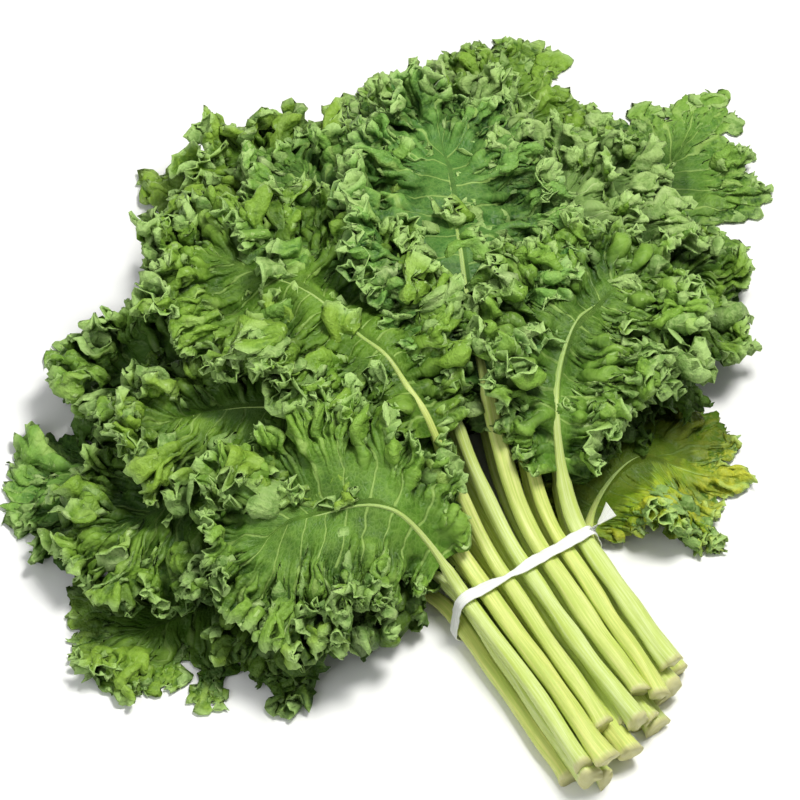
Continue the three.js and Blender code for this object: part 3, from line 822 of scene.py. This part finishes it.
for leaf, blade in zip(leaves, blades):
    name = f"leaf_{leaf['order']:02d}"
    skins, same, quads, tris, side, tri_side, vein, grown, bake = blade
    # How far each point lies below the canopy sets the painted shade in the heap's hollows.
    painted_shade_depth = canopy[canopy_cell(skins)] - skins[:, 2]
    grown[:, 2] = np.clip((painted_shade_depth - HOLLOW_FROM) / HOLLOW_DEPTH, 0, 1)
    stalk, stalk_quads, stalk_tris, stalk_vein, stalk_grown, stalk_bake = stalk_skin(leaf)
    if leaf["face"] < 0:
        side = 1 - side
        tri_side = 1 - tri_side
    shift = len(skins)
    points = np.concatenate([skins, stalk])
    groups = [
        (same[quads], side),
        (same[tris], tri_side),
        (stalk_quads + shift, 2),
        (stalk_tris + shift, 2),
    ]
    materials = [
        leaf_finish(name + "_upper", False, leaf["hue"]),
        leaf_finish(name + "_under", True, leaf["hue"]),
        stalk_finish(name + "_stalk", math.sin(leaf["order"] * 1.9)),
    ]
    piece = mesh_piece(
        name + "_grown",
        points,
        groups,
        np.concatenate([vein, stalk_vein]),
        np.concatenate([grown, stalk_grown]),
        materials,
        np.concatenate([bake, stalk_bake]),
    )
    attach(piece, "root")
    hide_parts(name)


# ---- The tie ------------------------------------------------------------------------------------
# A thin pale strip of paper pulled once round the stalks, its two ends twisted about each other
# at the right-hand shoulder. The band and the ends are thin closed strips in one mesh.

STRIP_WIDTH = 6.0
STRIP_HALF = 0.30
BAND_COUNT, BAND_WIDE = 360, 12
BAND_STEP = 0.55
PINCH_PLACE, PINCH_REACH = -12, 7
END_STEPS, END_WIDE = 70, 8


def strip_loop(angle, out):
    """The tight loop round all the stalks' circles: at each angle the circle that reaches
    furthest that way, let out by its radius and a gap."""
    side = np.array([leaf["slot"] * STALK_PITCH for leaf in leaves])
    up = np.array([ROW_LIFT + ROW_STEP * leaf["tier"] for leaf in leaves])
    reach = side[:, None] * np.cos(angle) + up[:, None] * np.sin(angle)
    best = reach.argmax(axis=0)
    rim = STALK_RADIUS + out
    return np.stack([side[best] + np.cos(angle) * rim, up[best] + np.sin(angle) * rim], -1)


def even_loop(points, count):
    """A closed outline walked at even steps of its length, with its corners eased a little."""
    closed = np.concatenate([points, points[:1]])
    run = np.concatenate([[0], np.cumsum(np.linalg.norm(np.diff(closed, axis=0), axis=1))])
    at = np.linspace(0, run[-1], count, endpoint=False)
    even = np.stack([np.interp(at, run, closed[:, k]) for k in range(2)], -1)
    for _ in range(3):
        even = 0.5 * even + 0.25 * (np.roll(even, 1, axis=0) + np.roll(even, -1, axis=0))
    return even


def in_bundle(side, up, forward):
    """Distances across, above and along the bundle put into the drawing's x, y, z."""
    flat = TIE + ACROSS * side[..., None] + ALONG * forward[..., None]
    return np.concatenate([flat, up[..., None]], -1)


def strip_band():
    """The band: a thin cross-section carried round the loop, waving a little and pinched to a
    twist at one place on the top."""
    count, wide = BAND_COUNT, BAND_WIDE
    angles = np.linspace(0, 2 * np.pi, 2 * count, endpoint=False)
    loop = even_loop(strip_loop(angles, 0.75), count)
    t = np.arange(count) / count * 2 * np.pi
    tangent = np.roll(loop, -1, axis=0) - np.roll(loop, 1, axis=0)
    tangent /= np.linalg.norm(tangent, axis=1, keepdims=True)
    outward = np.stack([tangent[:, 1], -tangent[:, 0]], -1)
    chance = np.random.default_rng(41)
    arc = np.arange(count) * BAND_STEP
    wave = 0.35 * wander(chance, arc, 30)
    w = np.linspace(-0.5, 0.5, wide)
    near = np.exp(-(((loop[:, 0] - PINCH_PLACE) / PINCH_REACH) ** 2))
    pinch = 1 - 0.55 * near * (loop[:, 1] > 20)
    breadth = STRIP_WIDTH * pinch * (1 + 0.06 * wander(chance, arc, 18))
    slant = 0.05 * loop[:, 0] + 0.8 * wander(chance, arc, 60)
    ripple = 0.25 * wander(chance, arc, 7)
    lift = wave[:, None] + ripple[:, None] * np.abs(w)[None, :] * 2
    lift = lift + 0.5 + 0.25 * np.cos(w * np.pi)[None, :]
    forward = slant[:, None] + breadth[:, None] * w[None, :]
    skins = []
    for sign in (1, -1):
        push = lift + sign * STRIP_HALF
        side = loop[:, 0, None] + outward[:, 0, None] * push
        up = loop[:, 1, None] + outward[:, 1, None] * push
        skins.append(in_bundle(side, np.maximum(up, 0.3), forward))
    points = np.concatenate([s.reshape(-1, 3) for s in skins])
    i = np.arange(count)[:, None]
    n = (i + 1) % count
    j = np.arange(wide - 1)[None, :]
    face = np.stack([i * wide + j, i * wide + j + 1, n * wide + j + 1, n * wide + j], -1)
    face = face.reshape(-1, 4)
    total = count * wide
    i, n = i[:, 0], n[:, 0]
    hems = []
    for edge, flip in ((0, False), (wide - 1, True)):
        hem = np.stack(
            [i * wide + edge, n * wide + edge, n * wide + edge + total, i * wide + edge + total], -1
        )
        hems.append(hem[:, ::-1] if flip else hem)
    quads = np.concatenate([face, face[:, ::-1] + total, *hems])
    flat = np.stack([np.repeat(arc, wide), np.tile(w * STRIP_WIDTH, count)], -1) / 100
    return points, quads, np.concatenate([flat, flat])


def strip_ends():
    """The two twisted ends: narrow strips that leave the shoulder together, turn about each other
    and splay, each closed at its edges and ends."""
    steps, wide = END_STEPS, END_WIDE
    s = np.linspace(0, 1, steps)
    w = np.linspace(-0.5, 0.5, wide)
    foot = strip_loop(np.array([0.95]), 0.8)[0]
    pieces, faces, maps = [], [], []
    for number, (spin, splay) in enumerate(((0.0, 1.0), (math.pi, -0.6))):
        turn = spin + 5.0 * np.minimum(s, 0.45) + 0.9 * s
        side = foot[0] - 1 + 13 * s
        up = foot[1] + 8.5 * s + 1.5 * s * s
        drift = 0.05 * foot[0] + splay * 5.0 * np.clip(s - 0.4, 0, 1) ** 1.2
        half = STRIP_WIDTH * (0.36 + 0.75 * np.clip(s - 0.35, 0, 1))
        across = half[:, None] * w[None, :]
        offset = 0.55 * np.sign(math.cos(spin)) * np.clip(1 - s / 0.45, 0, 1)
        skins = []
        for sign in (1, -1):
            thick = offset[:, None] + sign * STRIP_HALF
            forward = drift[:, None] + across * np.cos(turn)[:, None] - thick * np.sin(turn)[:, None]
            lift = across * np.sin(turn)[:, None] + thick * np.cos(turn)[:, None]
            skins.append(in_bundle(side[:, None] - lift * 0.55, up[:, None] + lift * 0.83, forward))
        base = number * steps * wide * 2
        pieces += [skin.reshape(-1, 3) for skin in skins]
        i = np.arange(steps - 1)[:, None] * wide
        j = np.arange(wide - 1)[None, :]
        face = np.stack([i + j, i + j + 1, i + j + 1 + wide, i + j + wide], -1).reshape(-1, 4)
        total = steps * wide
        i, j = i[:, 0], j[0]
        hem_a = np.stack([i, i + wide, i + wide + total, i + total], -1)
        hem_b = hem_a[:, ::-1] + wide - 1
        end_a = np.stack([j, j + total, j + 1 + total, j + 1], -1)
        end_b = end_a[:, ::-1] + (steps - 1) * wide
        faces.append(np.concatenate([face, face[:, ::-1] + total, hem_a, hem_b, end_a, end_b]) + base)
        flat = np.stack([np.repeat(s * 16, wide), np.tile(w * 5 + number * 9, steps)], -1) / 100
        maps += [flat, flat]
    return np.concatenate(pieces), np.concatenate(faces), np.concatenate(maps)


def strip_finish():
    """Pale paper: faint long fibres, soft creases and a few slightly greyer places."""
    f = Finish("pale_strip")
    where = f.add("ShaderNodeTexCoord").outputs["Object"]
    flat = f.add("ShaderNodeUVMap", uv_map="Vein").outputs[0]
    long_map = f.add("ShaderNodeMapping", {"Vector": flat, "Scale": (6.0, 90.0, 1.0)}).outputs[0]
    fibre = f.noise(long_map, 1.0, 4.0, 0.6)
    grey = f.noise(where, 120.0, 3.0)
    base = f.mix(f.span(fibre, 0.35, 0.7), (0.74, 0.76, 0.70, 1), (0.90, 0.91, 0.88, 1))
    base = f.mix(f.span(grey, 0.5, 0.75, 0.0, 0.3), base, (0.70, 0.74, 0.62, 1))
    f.put(f.skin.inputs["Base Color"], base)
    f.put(f.skin.inputs["Roughness"], f.span(fibre, 0.3, 0.7, 0.5, 0.7))
    crease = f.noise(flat, 60.0, 3.0)
    bump = f.add("ShaderNodeBump", {"Height": crease, "Strength": 0.4, "Distance": 0.0006})
    f.put(f.skin.inputs["Normal"], bump.outputs[0])
    return f.material


band, band_quads, band_map = strip_band()
ends, ends_quads, ends_map = strip_ends()
tie_points = np.concatenate([band, ends])
tie_quads = np.concatenate([band_quads, ends_quads + len(band)])
tie_map = np.concatenate([band_map, ends_map])
tie_grown = np.zeros((len(tie_points), 3))
tie_piece = mesh_piece(
    "tie_strip", tie_points, [(tie_quads, 0)], tie_map, tie_grown, [strip_finish()], None
)
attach(tie_piece, "root")
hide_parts("tie")
